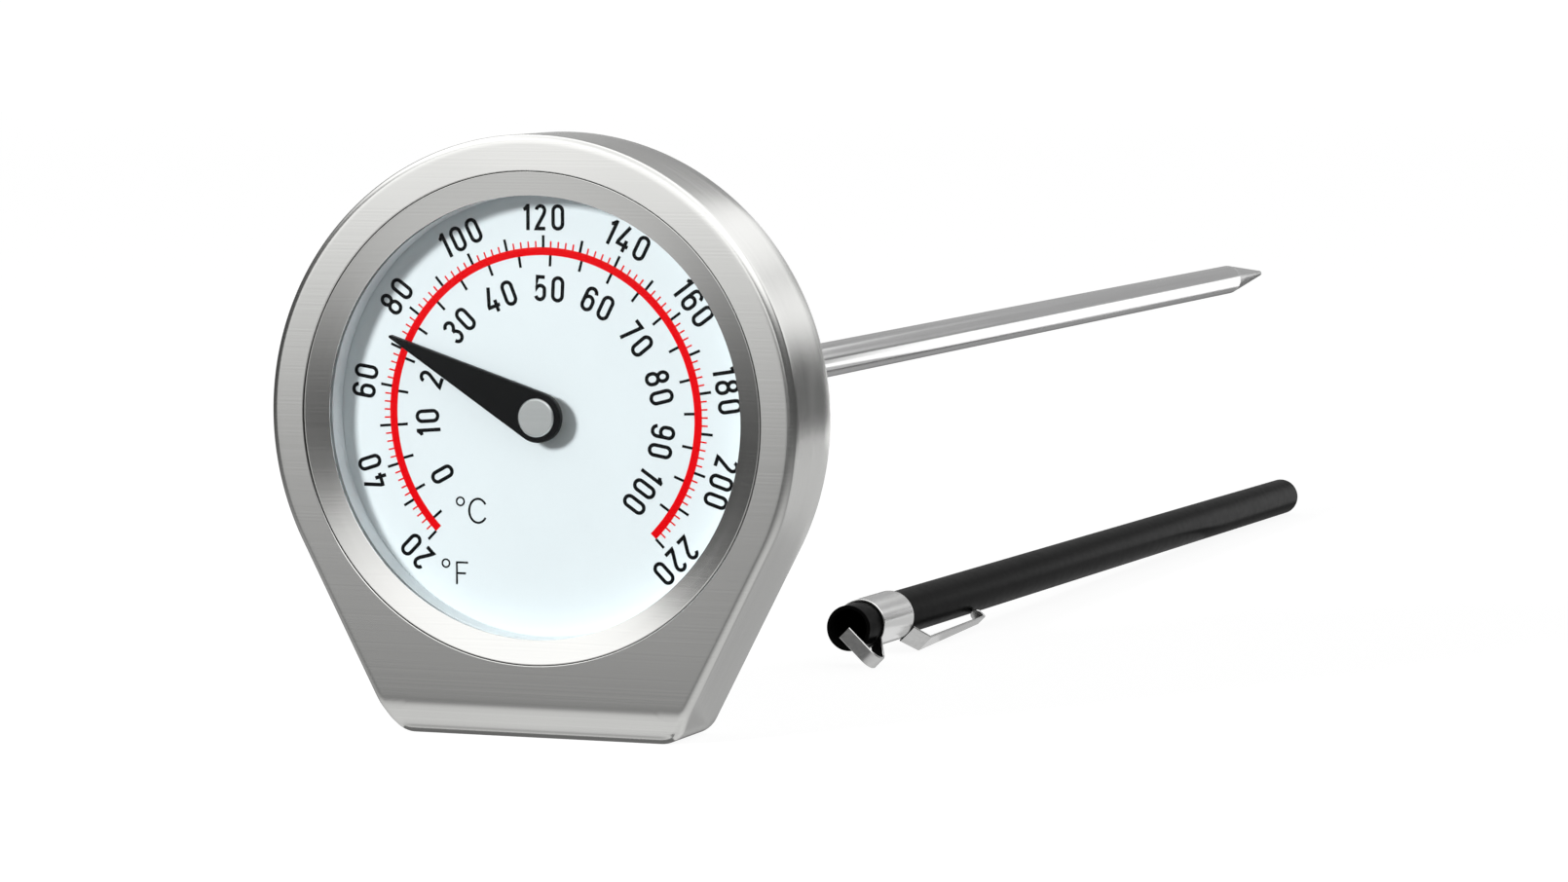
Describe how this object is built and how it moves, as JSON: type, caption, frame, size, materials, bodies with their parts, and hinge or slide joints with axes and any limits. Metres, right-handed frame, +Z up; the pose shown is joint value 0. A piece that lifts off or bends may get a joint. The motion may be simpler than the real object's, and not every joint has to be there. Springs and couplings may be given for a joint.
{
  "type": "dial thermometer",
  "caption": "Round-headed steel dial thermometer on a flat foot, with a long pointed rear stem, a swinging pointer behind a lens, and a loose clip-on sheath.",
  "frame": {"origin": "middle of the flat foot under the case, on the surface that it stands on", "axes": "+Z up, +Y from the dial back along the stem, +X to the reader's right"},
  "size_m": [0.0568, 0.2727, 0.0607],
  "materials": {
    "brushed_case": "satin",
    "brushed_bezel": "satin",
    "inner_metal": "satin",
    "clear_lens": "gloss",
    "gasket": "matte",
    "dial_white": "satin",
    "print_black": "satin",
    "print_red": "satin",
    "pointer_black": "satin",
    "hub_metal": "satin",
    "polished_steel": "gloss",
    "brass_fittings": "satin",
    "bimetal": "satin",
    "spring_steel": "satin",
    "clip_steel": "satin",
    "sheath_black": "satin"
  },
  "bodies": {
    "head": {"case_shell": "brushed_case", "back_cover": "brushed_case", "bezel_ring": "brushed_bezel", "inner_can": "inner_metal", "lens": "clear_lens", "lens_gasket": "gasket", "dial_spacer": "dial_white", "dial_plate": "dial_white", "dial_support_ring": "inner_metal", "stem_bushing": "brass_fittings", "friction_washer": "spring_steel"},
    "stem": {"calibration_nut": "brushed_case", "lock_ring": "spring_steel", "stem_tube": "polished_steel", "stem_tip": "polished_steel", "upper_guide_bush": "brass_fittings", "lower_guide_bush": "brass_fittings", "bimetal_coil": "bimetal", "coil_anchor": "brass_fittings"},
    "pointer": {"pointer": "pointer_black", "pointer_hub_cap": "hub_metal", "pointer_collet": "brass_fittings", "pointer_arbor": "polished_steel"},
    "sheath": {"sheath_tube": "sheath_black", "sheath_band": "clip_steel"},
    "retaining_spring": {"retaining_spring": "clip_steel"},
    "pocket_clip": {"pocket_clip": "clip_steel"}
  },
  "joints": [
    {"name": "calibration_turn", "type": "hinge", "parent": "head", "child": "stem", "pos_m": [0, 0.009, 0.0323], "axis": [0, 1, 0], "continuous": true},
    {"name": "pointer_sweep", "type": "hinge", "parent": "stem", "child": "pointer", "pos_m": [0, -0.003, 0.0323], "axis": [0, 1, 0], "range_deg": [-70.9, 199.1], "stiffness_Nm_per_rad": 0.002},
    {"name": "sheath_draw", "type": "slide", "parent": "head", "child": "sheath", "axis": [0, 1, 0], "range_m": [0, 0.1]},
    {"name": "retaining_flex", "type": "hinge", "parent": "sheath", "child": "retaining_spring", "pos_m": [0.01306, 0.06178, 0.00244], "axis": [0.7071, 0.0056, 0.7071], "range_deg": [0, 16], "stiffness_Nm_per_rad": 0.2},
    {"name": "clip_flex", "type": "hinge", "parent": "sheath", "child": "pocket_clip", "pos_m": [0.01309, 0.07188, 0.00233], "axis": [-0.7071, -0.0056, -0.7071], "range_deg": [0, 8], "stiffness_Nm_per_rad": 0.08}
  ]
}
